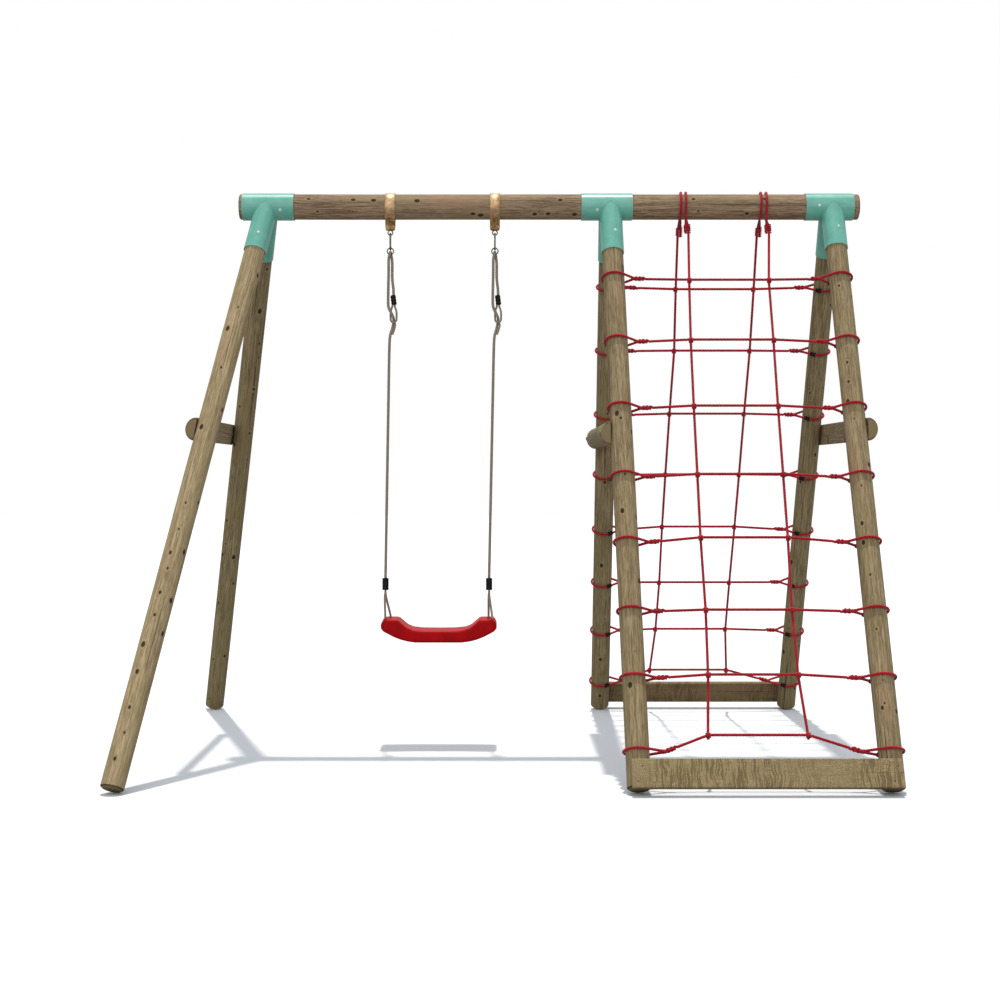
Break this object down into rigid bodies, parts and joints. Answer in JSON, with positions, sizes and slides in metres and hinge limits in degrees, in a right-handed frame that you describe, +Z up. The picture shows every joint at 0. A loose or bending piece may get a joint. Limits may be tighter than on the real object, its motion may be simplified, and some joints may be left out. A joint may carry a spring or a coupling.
{
  "type": "swing and climbing net frame",
  "caption": "Round-pole timber play frame with a plastic swing seat on ropes in one bay and rope climbing nets on both slopes of the other.",
  "frame": {"origin": "on the ground, under the middle of the whole frame's box", "axes": "+Z up, +X along the top beam towards the net bay, -Y to the front"},
  "size_m": [2.7462, 2.2696, 2.1815],
  "materials": {
    "timber": "pressure-treated softwood, sanded poles and sawn boards, unsealed",
    "teal_steel": "teal powder coat, satin",
    "brass": "yellow-passivated steel, satin",
    "zinc": "bright zinc plate",
    "red_rope": "twisted synthetic rope, dark red",
    "hemp_rope": "twisted rope, natural grey-brown",
    "black_plastic": "moulded, black",
    "red_plastic": "moulded, semi-gloss red"
  },
  "bodies": {
    "frame": {"brace_left": "timber", "brace_middle": "timber", "brace_right": "timber", "bracket_left": "teal_steel", "bracket_middle": "teal_steel", "bracket_right": "teal_steel", "front_net_row_1": "red_rope", "front_net_row_2": "red_rope", "front_net_row_3": "red_rope", "front_net_row_4": "red_rope", "front_net_row_5": "red_rope", "front_net_row_6": "red_rope", "front_net_row_7": "red_rope", "front_net_row_8": "red_rope", "front_net_upright_left": "red_rope", "front_net_upright_right": "red_rope", "ground_board_front": "timber", "ground_board_rear": "timber", "hanger_eye_left": "zinc", "hanger_eye_right": "zinc", "hanger_strap_left": "brass", "hanger_strap_right": "brass", "leg_left_front": "timber", "leg_left_rear": "timber", "leg_middle_front": "timber", "leg_middle_rear": "timber", "leg_right_front": "timber", "leg_right_rear": "timber", "rear_net_row_1": "red_rope", "rear_net_row_2": "red_rope", "rear_net_row_3": "red_rope", "rear_net_row_4": "red_rope", "rear_net_row_5": "red_rope", "rear_net_row_6": "red_rope", "rear_net_row_7": "red_rope", "rear_net_row_8": "red_rope", "rear_net_upright_left": "red_rope", "rear_net_upright_right": "red_rope", "top_beam": "timber"},
    "swing": {"adjuster_loop_left": "hemp_rope", "adjuster_loop_right": "hemp_rope", "lower_crimp_left": "black_plastic", "lower_crimp_right": "black_plastic", "rope_ring_left": "zinc", "rope_ring_right": "zinc", "seat_bridle_left": "hemp_rope", "seat_bridle_right": "hemp_rope", "snap_link_left": "zinc", "snap_link_right": "zinc", "swing_rope_left": "hemp_rope", "swing_rope_right": "hemp_rope", "swing_seat": "red_plastic", "upper_crimp_left": "black_plastic", "upper_crimp_right": "black_plastic"},
    "gate_left": {"snap_gate_left": "zinc"},
    "gate_right": {"snap_gate_right": "zinc"}
  },
  "joints": [
    {"name": "swing", "type": "hinge", "parent": "frame", "child": "swing", "pos_m": [-0.26335, 0, 2.0091], "axis": [1, 0, 0], "range_deg": [-60, 60]},
    {"name": "gate_left", "type": "hinge", "parent": "swing", "child": "gate_left", "pos_m": [-0.4693, 0.0115, 1.9672], "axis": [1, 0, 0], "range_deg": [0, 20], "stiffness_Nm_per_rad": 0.05, "springref_deg": -11.46},
    {"name": "gate_right", "type": "hinge", "parent": "swing", "child": "gate_right", "pos_m": [-0.0574, 0.0115, 1.9672], "axis": [1, 0, 0], "range_deg": [0, 20], "stiffness_Nm_per_rad": 0.05, "springref_deg": -11.46}
  ]
}
